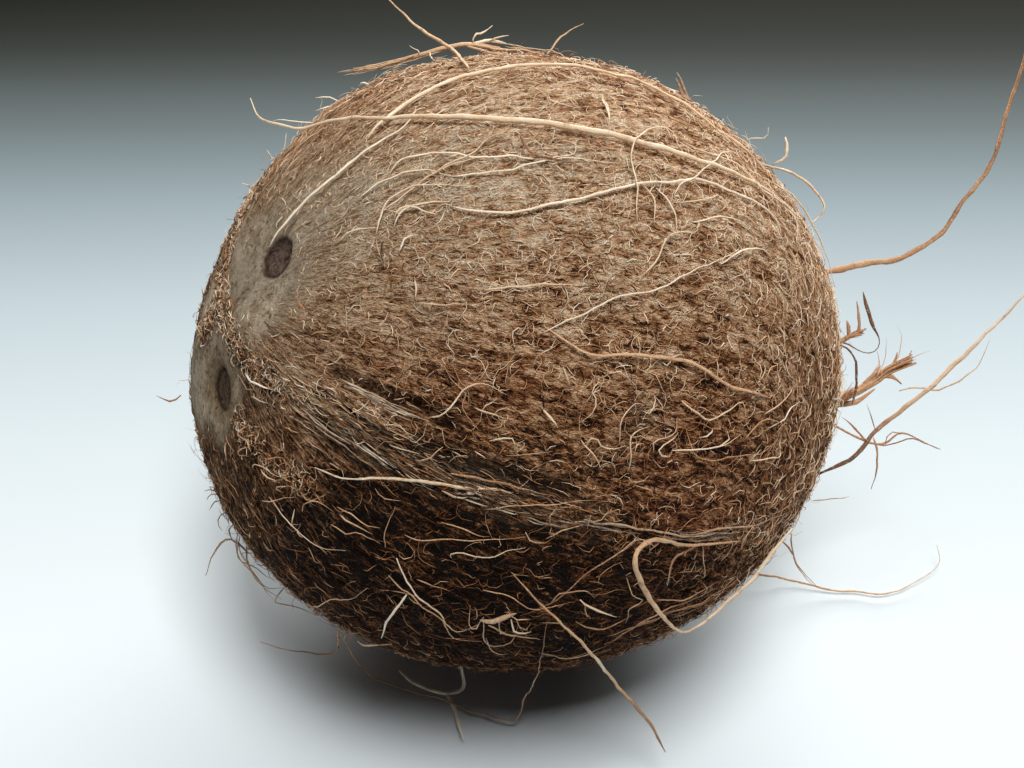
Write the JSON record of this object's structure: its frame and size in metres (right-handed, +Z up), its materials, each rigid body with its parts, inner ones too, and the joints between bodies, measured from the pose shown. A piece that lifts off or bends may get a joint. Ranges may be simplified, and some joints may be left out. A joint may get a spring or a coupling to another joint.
{
  "type": "dehusked coconut",
  "caption": "Whole brown dehusked coconut with its eyes, ridges and loose husk fibres, lying on its side on a small flat spot.",
  "frame": {"origin": "centre of the small flat spot on the underside that the nut rests on", "axes": "+Z up out of the resting surface, +X level from the eye end towards the tip end, -Y the front"},
  "size_m": [0.1761, 0.1168, 0.1195],
  "materials": {
    "husk_felt": "matt brown fibrous husk felt, worn grey around the eyes",
    "husk_fibre": "dry straw-coloured to brown coir fibre"
  },
  "bodies": {
    "root": {"coconut": "husk_felt", "fibre_over_top": "husk_fibre", "fibre_top_bundle": "husk_fibre", "fibre_top_sprig": "husk_fibre", "fibre_top_crossing": "husk_fibre", "fibre_top_small": "husk_fibre", "fibre_front": "husk_fibre", "fibre_front_loop": "husk_fibre", "fibre_left": "husk_fibre", "fibre_lower_left": "husk_fibre", "fibre_forked": "husk_fibre", "fibre_forked_branch": "husk_fibre", "fibre_low_front": "husk_fibre", "fibre_low_left": "husk_fibre", "fibre_right_upper": "husk_fibre", "fibre_right_lower": "husk_fibre", "tip_tuft": "husk_fibre", "tip_tuft_hook": "husk_fibre", "tip_tuft_long": "husk_fibre", "tip_tuft_low": "husk_fibre", "fibre_low_right": "husk_fibre", "fibre_low_right_side": "husk_fibre"}
  },
  "joints": []
}
